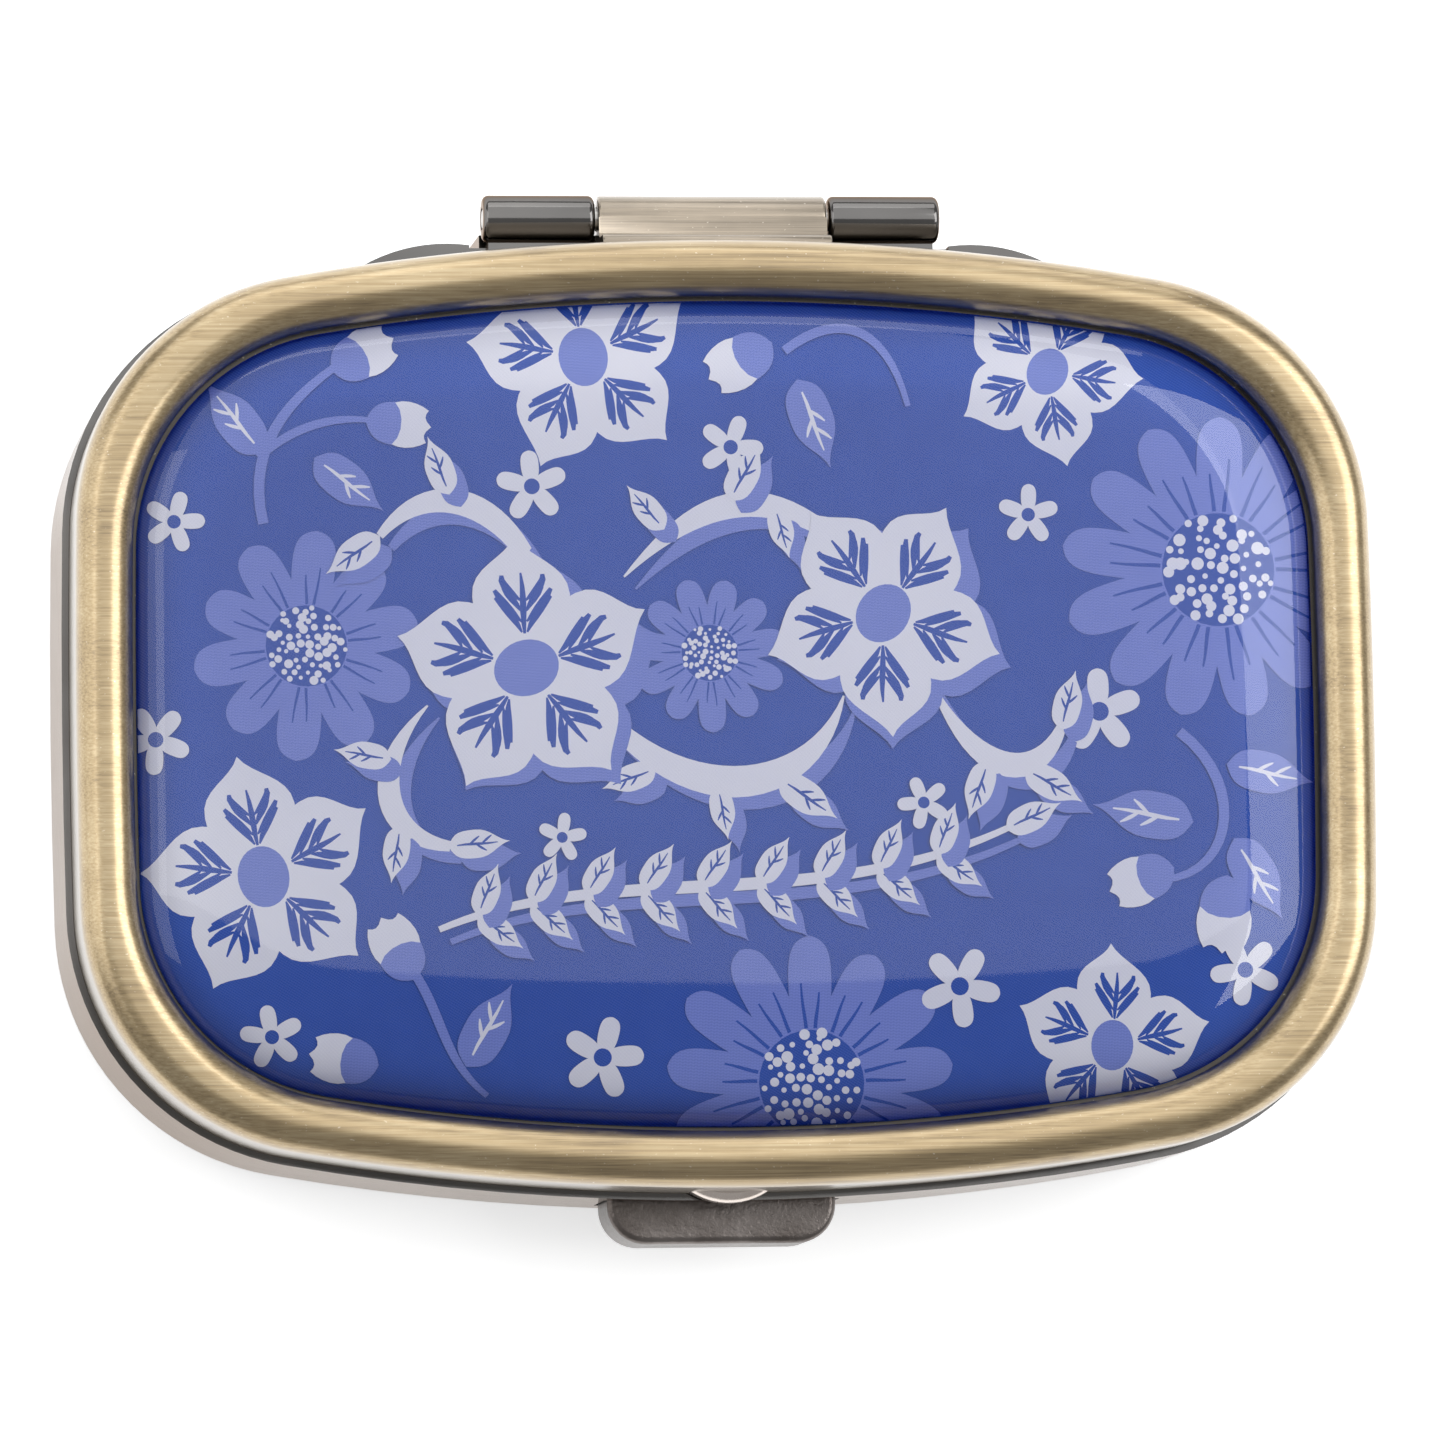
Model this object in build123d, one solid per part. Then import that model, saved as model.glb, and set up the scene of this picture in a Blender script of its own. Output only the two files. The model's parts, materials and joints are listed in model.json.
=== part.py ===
from build123d import *
import os

# A two-compartment metal pill box. The lid is brass-plated, with a rounded rim round a recessed
# picture under a clear dome. The base is plated black nickel. Millimetres, +Z up, +Y towards the
# hinge, +X to the right. The origin is the middle of the flat underside.

# Outline of the base: four shallow arcs with rounded corners
WIDTH = 63.8
DEPTH = 46.6
SIDE_ARC = 420.0
LONG_ARC = 122.0
CORNER = 12.6
PICTURE_CORNER = 10.6

# Base casting
BASE_HEIGHT = 10.6
BASE_WALL = 0.8
BASE_FLOOR = 0.9
FOOT_ROUND = 2.4
LIP_THICKNESS = 0.4
LIP_GAP = 0.55
LIP_RISE = 0.7
LIP_ROOT = 1.0

# Lid casting
PARTING_GAP = 0.15
LID_INSET = 0.35
LID_WALL = 0.75
RIM_WIDTH = 2.75
RIM_ROUND = 1.32
RIM_CREST = 16.27
PANEL_TOP = 14.3
PANEL_THICKNESS = 0.7

# Picture, dome and mirror
PICTURE_GAP = 0.2
PICTURE_THICKNESS = 0.15
DOME_CROWN = 16.5
DOME_SPHERE = 640.0
DOME_EDGE_ROUND = 0.8
PAD_THICKNESS = 0.15
MIRROR_INSET = 3.2
MIRROR_THICKNESS = 1.0
PAD_INSET = 4.2

# Hinge
AXIS_Y = 24.58
AXIS_Z = 10.65
KNUCKLE_RADIUS = 1.15
KNUCKLE_ROUND = 0.3
PIN_RADIUS = 0.55
PIN_CLEARANCE = 0.05
PIN_ROUND = 0.2
HINGE_HALF = 11.2
MIDDLE_HALF = 5.6
KNUCKLE_GAP = 0.15
LEAF_BACK = 23.5
LEAF_TOP = 13.5
LEAF_ROUND = 0.4
PLATE_BACK = 24.0
PLATE_BOTTOM = 3.8
PLATE_TOP = 9.2
PLATE_CORNER = 1.2
PLATE_OVERLAP = 4.0
WEB_OVERLAP = 0.5
SHELF_DROP = 0.3
SHELF_BACK = 23.24
SHOULDER_INNER = 11.8
SHOULDER_OUTER = 18.5
SHOULDER_CENTRE = (12.9, 15.07)
SHOULDER_ARC = 8.35
SHOULDER_TOP = 10.35
PLATE_RIVET = (8.5, 6.2)
LEAF_RIVET = (3.3, 12.35)
RIVET_RADIUS = 0.6
RIVET_HEAD = 0.9
RIVET_HEAD_RISE = 0.35
RIVET_HEAD_ROUND = 0.3
LEAF_RIVET_SETBACK = 0.1
LEAF_RIVET_TAIL = 0.25
PLATE_RIVET_SETBACK = 0.4
PLATE_RIVET_TAIL = 0.3

# Push button and latch
BUTTON_HALF = 5.6
BUTTON_FRONT = 25.3
BUTTON_BOTTOM = 4.7
BUTTON_TOP = 8.9
BUTTON_CORNER = 1.9
BUTTON_ROUND = 0.35
BUTTON_CLEARANCE = 0.15
FLANGE_HALF = 6.6
FLANGE_FRONT = 22.15
FLANGE_REAR = 21.4
FLANGE_MARGIN = 0.45
HOOK_HALF = 3.2
HOOK_THICKNESS = 0.5
HOOK_BOTTOM = 5.2
HOOK_TOP = 12.1
NOSE_REACH = 21.95
NOSE_THICKNESS = 0.55
NOSE_CHAMFER = 0.3
CATCH_HALF = 3.0
CATCH_REACH = 21.55
CATCH_BOTTOM = 10.95
CATCH_TOP = 11.5
LIP_ARC = 3.5
THUMB_REACH = 23.5
THUMB_TOP = 12.2
THUMB_ROUND = 0.45
STEM_HALF = 1.6
STEM_TOP = 11.9
STEM_FRONT = 23.2
STEM_STEP = 22.15
STEM_OVERLAP = 0.3

# Latch bracket and spring
BRACKET_HALF = 7.5
BRACKET_FRONT = 19.6
BRACKET_THICKNESS = 0.6
BRACKET_TOP = 8.8
BRACKET_FOOT = 17.1
WING_FRONT = 21.8
WING_BOTTOM = 3.0
LATCH_RIVET = (5.0, 18.0)
LATCH_HEAD_ROUND = 0.25
SPRING_HALF = 5.2
SPRING_THICKNESS = 0.2
SPRING_BOTTOM = 5.7
SPRING_TOP = 8.3
SPRING_END_Y = 19.78
SPRING_MIDDLE_Y = 20.78

# Tray
TRAY_INSET = 2.05
TRAY_WALL = 0.8
TRAY_FLOOR = 0.85
TRAY_TOP = 9.8
TRAY_FOOT_ROUND = 0.6
WELL_ROUND = 1.2
NOTCH_ROUND = 0.7
NOTCH_HALF = 8.6
NOTCH_BACK = 16.8
DIVIDER_HALF = 0.4
DIVIDER_DROP = 0.5

# How far a cutting shape passes the face that it cuts, where a shape that is trimmed to a wall
# begins inside it, a height above everything, and how close counts as the same height
OVERCUT = 1.0
INSIDE_WALL = 20.0
BORE_START = 18.0
ABOVE_ALL = 20.0
TOUCH = 0.001

LID_BOTTOM = BASE_HEIGHT + PARTING_GAP
PANEL_BOTTOM = PANEL_TOP - PANEL_THICKNESS
PICTURE_TOP = PANEL_TOP + PICTURE_THICKNESS
RECESS_INSET = LID_INSET + RIM_WIDTH
PICTURE_INSET = RECESS_INSET + PICTURE_GAP
LID_CAVITY = LID_INSET + LID_WALL
TRAY_BOTTOM = BASE_FLOOR + PAD_THICKNESS


def outline(inset, corner=None):
    """The box's outline, drawn in from the base's: where four big discs overlap, corners rounded."""
    side = Circle(SIDE_ARC - inset)
    long = Circle(LONG_ARC - inset)
    across = SIDE_ARC - WIDTH / 2
    along = LONG_ARC - DEPTH / 2
    face = Pos(across, 0) * side & Pos(-across, 0) * side
    face = face & Pos(0, along) * long & Pos(0, -along) * long
    return fillet(face.vertices(), corner or CORNER - inset)


def slab(inset, bottom, top, corner=None):
    """A slice of the box between two heights."""
    return extrude(Pos(0, 0, bottom) * outline(inset, corner), top - bottom)


def block(x_low, x_high, y_low, y_high, z_low, z_high):
    """A box given by its six faces."""
    middle = Pos((x_low + x_high) / 2, (y_low + y_high) / 2, (z_low + z_high) / 2)
    return middle * Box(x_high - x_low, y_high - y_low, z_high - z_low)


def rod(radius, x_low, x_high):
    """A round bar along the hinge's axis."""
    place = Pos((x_low + x_high) / 2, AXIS_Y, AXIS_Z) * Rot(0, 90, 0)
    return place * Cylinder(radius, x_high - x_low)


def cylinder_y(radius, x, z, y_low, y_high):
    """A round bar along Y."""
    return Pos(x, (y_low + y_high) / 2, z) * Rot(90, 0, 0) * Cylinder(radius, y_high - y_low)


def at_height(shape, height):
    """The edges of a shape that lie flat at one height."""
    return shape.edges().filter_by_position(Axis.Z, height - TOUCH, height + TOUCH)


def base_shell():
    """Deep casting with a rounded foot, a locating lip inside its rim and a slot for the button."""
    body = slab(0, 0, BASE_HEIGHT)
    body = fillet(at_height(body, 0), FOOT_ROUND)
    cavity = slab(BASE_WALL, BASE_FLOOR, BASE_HEIGHT + OVERCUT)
    cavity = fillet(at_height(cavity, BASE_FLOOR), FOOT_ROUND - BASE_WALL)
    body -= cavity
    lip_outer = BASE_WALL + LIP_GAP
    lip_inner = lip_outer + LIP_THICKNESS
    root = slab(BASE_WALL, BASE_HEIGHT - LIP_ROOT, BASE_HEIGHT)
    root -= slab(lip_inner, 0, BASE_HEIGHT + OVERCUT)
    lip = slab(lip_outer, BASE_HEIGHT - LIP_ROOT, BASE_HEIGHT + LIP_RISE)
    lip -= slab(lip_inner, 0, BASE_HEIGHT + LIP_RISE + OVERCUT)
    front = block(-BRACKET_HALF, BRACKET_HALF, -DEPTH, 0, 0, ABOVE_ALL)
    body += (root + lip) - front
    slot_half = BUTTON_HALF + BUTTON_CLEARANCE
    slot_bottom = BUTTON_BOTTOM - BUTTON_CLEARANCE
    slot_top = BUTTON_TOP + BUTTON_CLEARANCE
    body -= block(-slot_half, slot_half, -DEPTH, -BRACKET_FRONT, slot_bottom, slot_top)
    for side in (-1, 1):
        body -= cylinder_y(RIVET_RADIUS, side * PLATE_RIVET[0], PLATE_RIVET[1], BORE_START, DEPTH)
        bore = Cylinder(RIVET_RADIUS, 2 * (BASE_FLOOR + OVERCUT))
        body -= Pos(side * LATCH_RIVET[0], -LATCH_RIVET[1], 0) * bore
    return body


def lid_shell():
    """Shallow casting: skirt, half-round rim and the recessed panel that carries the picture."""
    body = slab(LID_INSET, LID_BOTTOM, RIM_CREST)
    body = fillet(at_height(body, RIM_CREST), RIM_ROUND)
    recess = slab(RECESS_INSET, PANEL_TOP, RIM_CREST + OVERCUT, PICTURE_CORNER + PICTURE_GAP)
    body -= recess
    crest = body.faces().sort_by(Axis.Z)[-1]
    body = fillet(crest.inner_wires()[0].edges(), RIM_ROUND)
    body -= slab(LID_CAVITY, LID_BOTTOM - OVERCUT, PANEL_BOTTOM)
    body -= block(-STEM_HALF, STEM_HALF, -DEPTH, -CATCH_REACH, 0, STEM_TOP)
    for side in (-1, 1):
        body -= cylinder_y(RIVET_RADIUS, side * LEAF_RIVET[0], LEAF_RIVET[1], BORE_START, DEPTH)
    return body


def lid_print():
    """The printed picture, a thin sheet bonded to the panel."""
    return slab(PICTURE_INSET, PANEL_TOP, PICTURE_TOP, PICTURE_CORNER)


def lid_dome():
    """Clear resin over the picture, crowned in the middle and rounded down at its edge."""
    ball = Pos(0, 0, DOME_CROWN - DOME_SPHERE) * Sphere(DOME_SPHERE)
    dome = slab(PICTURE_INSET, PICTURE_TOP, DOME_CROWN + OVERCUT, PICTURE_CORNER) & ball
    top = dome.faces().sort_by(Axis.Z)[-1]
    return fillet(top.edges(), DOME_EDGE_ROUND)


def lid_hinge_leaf():
    """Middle knuckle with its leaf up the back of the lid."""
    knuckle = rod(KNUCKLE_RADIUS, -MIDDLE_HALF, MIDDLE_HALF)
    knuckle = fillet(knuckle.edges().filter_by(GeomType.CIRCLE), KNUCKLE_ROUND / 2)
    top = AXIS_Z + KNUCKLE_RADIUS
    web = block(-MIDDLE_HALF, MIDDLE_HALF, INSIDE_WALL, AXIS_Y, LID_BOTTOM, top)
    leaf = block(-MIDDLE_HALF, MIDDLE_HALF, INSIDE_WALL, LEAF_BACK, LID_BOTTOM, LEAF_TOP)
    leaf = fillet(leaf.edges().filter_by(Axis.X).sort_by(Axis.Z)[-1:], LEAF_ROUND)
    body = web + leaf - slab(LID_INSET, 0, ABOVE_ALL) + knuckle
    body -= rod(PIN_RADIUS + PIN_CLEARANCE, -WIDTH, WIDTH)
    for side in (-1, 1):
        body -= cylinder_y(RIVET_RADIUS, side * LEAF_RIVET[0], LEAF_RIVET[1], BORE_START, DEPTH)
    return body


def lid_leaf_rivets():
    """Two rivets through the leaf and the lid's back wall, flush outside."""
    group = []
    inner = DEPTH / 2 - LID_CAVITY - LEAF_RIVET_SETBACK
    tail_end = inner - LEAF_RIVET_TAIL
    for side in (-1, 1):
        shank = cylinder_y(RIVET_RADIUS, side * LEAF_RIVET[0], LEAF_RIVET[1], inner, LEAF_BACK)
        tail = cylinder_y(RIVET_HEAD, side * LEAF_RIVET[0], LEAF_RIVET[1], tail_end, inner)
        group.append(shank + tail)
    return Compound(children=group)


def lid_catch():
    """Half-moon thumb lip on the lid's front edge, one piece with the catch behind the wall."""
    cavity = slab(LID_CAVITY, 0, ABOVE_ALL)
    moon_centre = THUMB_REACH - LIP_ARC
    moon = extrude(Pos(0, -moon_centre, CATCH_BOTTOM) * Circle(LIP_ARC), THUMB_TOP - CATCH_BOTTOM)
    moon = fillet(at_height(moon, THUMB_TOP), THUMB_ROUND)
    moon -= slab(LID_INSET, 0, ABOVE_ALL)
    moon &= block(-WIDTH, WIDTH, -DEPTH, -INSIDE_WALL, 0, ABOVE_ALL)
    stem_rear = CATCH_REACH + STEM_OVERLAP
    stem = block(-STEM_HALF, STEM_HALF, -STEM_FRONT, -stem_rear, CATCH_BOTTOM, STEM_TOP)
    stem &= slab(LID_INSET, 0, ABOVE_ALL)
    stem -= block(-WIDTH, WIDTH, -STEM_STEP, 0, CATCH_TOP, ABOVE_ALL)
    catch = block(-CATCH_HALF, CATCH_HALF, -DEPTH / 2, -CATCH_REACH, CATCH_BOTTOM, CATCH_TOP)
    return moon + stem + (catch & cavity)


def mirror():
    """Glass mirror under the lid's panel."""
    top = PANEL_BOTTOM - PAD_THICKNESS
    return slab(MIRROR_INSET, top - MIRROR_THICKNESS, top)


def mirror_pad():
    """Adhesive pad between the mirror and the panel."""
    return slab(PAD_INSET, PANEL_BOTTOM - PAD_THICKNESS, PANEL_BOTTOM)


def hinge_plate():
    """Base half of the hinge: back plate, two outer knuckles and a shoulder beyond each."""
    outside = slab(0, 0, ABOVE_ALL)
    root = PLATE_TOP - PLATE_OVERLAP
    shelf_top = SHOULDER_TOP - SHELF_DROP
    plate = block(-HINGE_HALF, HINGE_HALF, INSIDE_WALL, PLATE_BACK, PLATE_BOTTOM, PLATE_TOP)
    plate = fillet(plate.edges().filter_by(Axis.Y).group_by(Axis.Z)[0], PLATE_CORNER)
    plate += block(-SHOULDER_INNER, SHOULDER_INNER, INSIDE_WALL, SHELF_BACK, root, shelf_top)
    for side in (-1, 1):
        near = min(side * SHOULDER_INNER, side * SHOULDER_OUTER)
        far = max(side * SHOULDER_INNER, side * SHOULDER_OUTER)
        disc = Pos(side * SHOULDER_CENTRE[0], SHOULDER_CENTRE[1], root) * Circle(SHOULDER_ARC)
        strip = block(near, far, BORE_START, DEPTH, 0, ABOVE_ALL)
        plate += extrude(disc, SHOULDER_TOP - root) & strip
    plate -= outside
    for side in (-1, 1):
        low = min(side * (MIDDLE_HALF + KNUCKLE_GAP), side * HINGE_HALF)
        high = max(side * (MIDDLE_HALF + KNUCKLE_GAP), side * HINGE_HALF)
        knuckle = rod(KNUCKLE_RADIUS, low, high)
        knuckle = fillet(knuckle.edges().filter_by(GeomType.CIRCLE), KNUCKLE_ROUND)
        inset = KNUCKLE_ROUND
        web_root = PLATE_TOP - WEB_OVERLAP
        web = block(low + inset, high - inset, INSIDE_WALL, AXIS_Y, web_root, AXIS_Z)
        web -= outside
        plate += knuckle + web
        plate -= cylinder_y(RIVET_RADIUS, side * PLATE_RIVET[0], PLATE_RIVET[1], BORE_START, DEPTH)
    return plate - rod(PIN_RADIUS, -HINGE_HALF - OVERCUT, HINGE_HALF + OVERCUT)


def hinge_pin():
    """Pin through the three knuckles, tight in the outer two."""
    pin = rod(PIN_RADIUS, -HINGE_HALF, HINGE_HALF)
    return fillet(pin.edges().filter_by(GeomType.CIRCLE), PIN_ROUND)


def hinge_plate_rivets():
    """Two rivets that hold the hinge plate to the base's back wall."""
    group = []
    inner = DEPTH / 2 - BASE_WALL - PLATE_RIVET_SETBACK
    tail_end = inner - PLATE_RIVET_TAIL
    for side in (-1, 1):
        shank = cylinder_y(RIVET_RADIUS, side * PLATE_RIVET[0], PLATE_RIVET[1], inner, PLATE_BACK)
        tail = cylinder_y(RIVET_HEAD, side * PLATE_RIVET[0], PLATE_RIVET[1], tail_end, inner)
        head_back = PLATE_BACK + RIVET_HEAD_RISE
        head = cylinder_y(RIVET_HEAD, side * PLATE_RIVET[0], PLATE_RIVET[1], PLATE_BACK, head_back)
        head = fillet(head.edges().sort_by(Axis.Y)[-1:], RIVET_HEAD_ROUND)
        group.append(shank + tail + head)
    return Compound(children=group)


def tray_outline(inset):
    """The tray's outline: the box's, with a notch at the front for the latch."""
    grown = inset - TRAY_INSET
    notch_half = NOTCH_HALF + grown
    notch_back = NOTCH_BACK - grown
    notch = Pos(0, -notch_back - DEPTH / 2) * Rectangle(2 * notch_half, DEPTH)
    face = outline(inset) - notch
    reach = notch_half + TOUCH
    corners = face.vertices().filter_by_position(Axis.X, -reach, reach)
    return fillet(corners, NOTCH_ROUND)


def pill_tray():
    """Moulded tray with two compartments and a divider."""
    tray = extrude(Pos(0, 0, TRAY_BOTTOM) * tray_outline(TRAY_INSET), TRAY_TOP - TRAY_BOTTOM)
    tray = fillet(at_height(tray, TRAY_BOTTOM), TRAY_FOOT_ROUND)
    inner = tray_outline(TRAY_INSET + TRAY_WALL)
    floor_top = TRAY_BOTTOM + TRAY_FLOOR
    for side in (-1, 1):
        half = inner & Pos(side * (DIVIDER_HALF + WIDTH / 2), 0) * Rectangle(WIDTH, WIDTH)
        well = extrude(Pos(0, 0, floor_top) * half, TRAY_TOP)
        well = fillet(at_height(well, floor_top), WELL_ROUND)
        tray -= well
    front = NOTCH_BACK - TRAY_WALL
    back = DEPTH / 2 - TRAY_INSET - TRAY_WALL
    return tray - block(-DIVIDER_HALF, DIVIDER_HALF, -front, back, TRAY_TOP - DIVIDER_DROP, TRAY_TOP)


def tray_pad():
    """Adhesive pad under the tray."""
    return extrude(Pos(0, 0, BASE_FLOOR) * tray_outline(PAD_INSET), PAD_THICKNESS)


def latch_bracket():
    """Folded plate behind the button: guides its flange and backs its spring."""
    rear = BRACKET_FRONT - BRACKET_THICKNESS
    floor_top = BASE_FLOOR + BRACKET_THICKNESS
    body = block(-BRACKET_HALF, BRACKET_HALF, -BRACKET_FRONT, -rear, BASE_FLOOR, BRACKET_TOP)
    body += block(-BRACKET_HALF, BRACKET_HALF, -BRACKET_FRONT, -BRACKET_FOOT, BASE_FLOOR, floor_top)
    for side in (-1, 1):
        inner = BRACKET_HALF - BRACKET_THICKNESS
        low = min(side * inner, side * BRACKET_HALF)
        high = max(side * inner, side * BRACKET_HALF)
        body += block(low, high, -WING_FRONT, -rear, WING_BOTTOM, BRACKET_TOP)
        bore = Cylinder(RIVET_RADIUS, 2 * (floor_top + OVERCUT))
        body -= Pos(side * LATCH_RIVET[0], -LATCH_RIVET[1], 0) * bore
    return body


def latch_rivets():
    """Two rivets through the bracket's foot and the floor, flush underneath."""
    group = []
    seat = BASE_FLOOR + BRACKET_THICKNESS
    for side in (-1, 1):
        place = Pos(side * LATCH_RIVET[0], -LATCH_RIVET[1], seat / 2)
        shank = place * Cylinder(RIVET_RADIUS, seat)
        place = Pos(side * LATCH_RIVET[0], -LATCH_RIVET[1], seat + RIVET_HEAD_RISE / 2)
        head = place * Cylinder(RIVET_HEAD, RIVET_HEAD_RISE)
        group.append(shank + fillet(at_height(head, seat + RIVET_HEAD_RISE), LATCH_HEAD_ROUND))
    return Compound(children=group)


def push_button():
    """Thumb button with a flange behind the wall that keeps it in."""
    cap = block(-BUTTON_HALF, BUTTON_HALF, -BUTTON_FRONT, -FLANGE_REAR, BUTTON_BOTTOM, BUTTON_TOP)
    uprights = cap.edges().filter_by(Axis.Z).sort_by(Axis.Y)[:2]
    cap = fillet(uprights, BUTTON_CORNER)
    front = cap.faces().sort_by(Axis.Y)[0]
    cap = fillet(front.edges(), BUTTON_ROUND)
    low = BUTTON_BOTTOM - FLANGE_MARGIN
    high = BUTTON_TOP + FLANGE_MARGIN
    return cap + block(-FLANGE_HALF, FLANGE_HALF, -FLANGE_FRONT, -FLANGE_REAR, low, high)


def latch_hook():
    """Spring-steel hook on the back of the button's flange; its nose sits over the lid's catch."""
    rear = FLANGE_REAR - HOOK_THICKNESS
    hook = block(-HOOK_HALF, HOOK_HALF, -FLANGE_REAR, -rear, HOOK_BOTTOM, HOOK_TOP)
    nose = block(-HOOK_HALF, HOOK_HALF, -NOSE_REACH, -rear, HOOK_TOP - NOSE_THICKNESS, HOOK_TOP)
    nose = chamfer(nose.edges().filter_by(Axis.X).group_by(Axis.Z)[-1].sort_by(Axis.Y)[:1], NOSE_CHAMFER)
    return hook + nose


def button_spring():
    """Bowed leaf spring between the bracket and the hook."""
    line = ThreePointArc(
        (-SPRING_HALF, -SPRING_END_Y), (0, -SPRING_MIDDLE_Y), (SPRING_HALF, -SPRING_END_Y)
    )
    strip = trace(line, SPRING_THICKNESS)
    return extrude(Pos(0, 0, SPRING_BOTTOM) * strip, SPRING_TOP - SPRING_BOTTOM)


PIECES = (
    base_shell, hinge_plate, hinge_pin, hinge_plate_rivets, pill_tray, tray_pad, latch_bracket,
    latch_rivets, lid_shell, lid_print, lid_dome, lid_hinge_leaf, lid_leaf_rivets, lid_catch,
    mirror, mirror_pad, push_button, latch_hook, button_spring,
)

os.makedirs("parts", exist_ok=True)
for piece in PIECES:
    export_step(piece(), f"parts/{piece.__name__}.step")
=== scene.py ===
import json
import math
import random
import bmesh
import bpy
from mathutils import Matrix, Vector
from mathutils.geometry import interpolate_bezier


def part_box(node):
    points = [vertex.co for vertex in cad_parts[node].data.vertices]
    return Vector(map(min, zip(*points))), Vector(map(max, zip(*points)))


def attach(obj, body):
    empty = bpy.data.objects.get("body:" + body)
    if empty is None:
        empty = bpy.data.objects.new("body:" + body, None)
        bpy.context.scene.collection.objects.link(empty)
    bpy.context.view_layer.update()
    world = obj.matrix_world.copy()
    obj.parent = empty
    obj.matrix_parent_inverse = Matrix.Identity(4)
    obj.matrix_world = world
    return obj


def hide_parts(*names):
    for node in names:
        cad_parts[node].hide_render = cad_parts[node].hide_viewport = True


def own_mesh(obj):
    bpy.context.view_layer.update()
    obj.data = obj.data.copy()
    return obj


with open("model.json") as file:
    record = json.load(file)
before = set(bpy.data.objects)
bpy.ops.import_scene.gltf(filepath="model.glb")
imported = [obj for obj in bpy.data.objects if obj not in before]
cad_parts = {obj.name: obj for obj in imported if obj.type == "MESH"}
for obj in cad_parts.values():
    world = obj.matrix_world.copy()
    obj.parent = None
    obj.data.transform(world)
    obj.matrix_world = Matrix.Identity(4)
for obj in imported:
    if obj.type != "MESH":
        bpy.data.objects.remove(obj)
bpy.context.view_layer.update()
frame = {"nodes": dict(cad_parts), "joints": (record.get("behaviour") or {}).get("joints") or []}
nodes = frame["nodes"]
mm = 0.001


# ---------------------------------------------------------------- Base casting
# The deep bottom half, cast in zinc and plated in polished black nickel. A locating lip
# stands inside its rim, and a slot in the front wall lets the button through.

class Value:
    """A number or colour that changes over a surface. Arithmetic on it adds Math nodes."""

    def __init__(self, finish, socket):
        self.finish = finish
        self.socket = socket

    def math(self, operation, first, second=0.0):
        return self.finish.node("ShaderNodeMath", {"operation": operation}, {0: first, 1: second})

    def __add__(self, other):
        return self.math("ADD", self, other)

    def __radd__(self, other):
        return self.math("ADD", other, self)

    def __sub__(self, other):
        return self.math("SUBTRACT", self, other)

    def __rsub__(self, other):
        return self.math("SUBTRACT", other, self)

    def __mul__(self, other):
        return self.math("MULTIPLY", self, other)

    def __rmul__(self, other):
        return self.math("MULTIPLY", other, self)

    def sine(self):
        return self.math("SINE", self)


class Finish:
    """One material, worked out from places on the piece in metres."""

    def __init__(self, name, metallic=0.0, roughness=0.5):
        self.material = bpy.data.materials.new(name)
        self.material.use_nodes = True
        self.tree = self.material.node_tree
        self.shader = self.tree.nodes["Principled BSDF"]
        self.place = self.node("ShaderNodeTexCoord", {}, {}, "Object")
        self.paint("Metallic", metallic)
        self.paint("Roughness", roughness)

    def node(self, kind, settings, values, output=0):
        """Adds a node: its settings first, then what its sockets hold or take in."""
        made = self.tree.nodes.new(kind)
        for key, setting in settings.items():
            if key == "stops":
                self.set_ramp(made.color_ramp, setting)
            else:
                setattr(made, key, setting)
        for socket, value in values.items():
            self.feed(made.inputs[socket], value)
        return Value(self, made.outputs[output])

    def set_ramp(self, ramp, stops):
        for position, colour in stops[1:-1]:
            ramp.elements.new(position)
        for element, (position, colour) in zip(ramp.elements, stops):
            element.position = position
            element.color = (*colour, 1.0)

    def feed(self, socket, value):
        if isinstance(value, Value):
            self.tree.links.new(value.socket, socket)
        else:
            socket.default_value = value

    def paint(self, socket, value):
        """Sets one socket of the shader."""
        self.feed(self.shader.inputs[socket], value)

    def grain(self, per_metre, detail=2.0, roughness=0.5):
        """Noise from 0 to 1, with so many features to the metre along each axis."""
        stretched = self.node(
            "ShaderNodeMapping", {}, {"Vector": self.place, "Scale": per_metre})
        return self.node(
            "ShaderNodeTexNoise", {},
            {"Vector": stretched, "Scale": 1.0, "Detail": detail, "Roughness": roughness})

    def ramp(self, amount, *stops):
        return self.node("ShaderNodeValToRGB", {"stops": stops}, {"Fac": amount})

    def between(self, value, low, high):
        """0 below low, 1 above high and a smooth step between."""
        return self.node(
            "ShaderNodeMapRange", {"interpolation_type": "SMOOTHSTEP"},
            {"Value": value, "From Min": low, "From Max": high})

    def blend(self, amount, first, second):
        """Two colours mixed; a colour is three numbers or a Value."""
        ends = [c if isinstance(c, Value) else (*c, 1.0) for c in (first, second)]
        return self.node(
            "ShaderNodeMix", {"data_type": "RGBA"}, {0: amount, 6: ends[0], 7: ends[1]}, 2)

    def axis(self, letter):
        """The place along one axis of the box, in metres."""
        return self.node("ShaderNodeSeparateXYZ", {}, {"Vector": self.place}, letter)

    def bump(self, height, depth, strength=1.0):
        """Raises the surface by so many metres where height is 1."""
        raised = self.node(
            "ShaderNodeBump", {}, {"Height": height, "Distance": depth, "Strength": strength})
        self.paint("Normal", raised)


def dress(finish, *names):
    """Gives CAD nodes their finish."""
    for name in names:
        slots = nodes[name].data.materials
        slots.clear()
        slots.append(finish.material)


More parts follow.
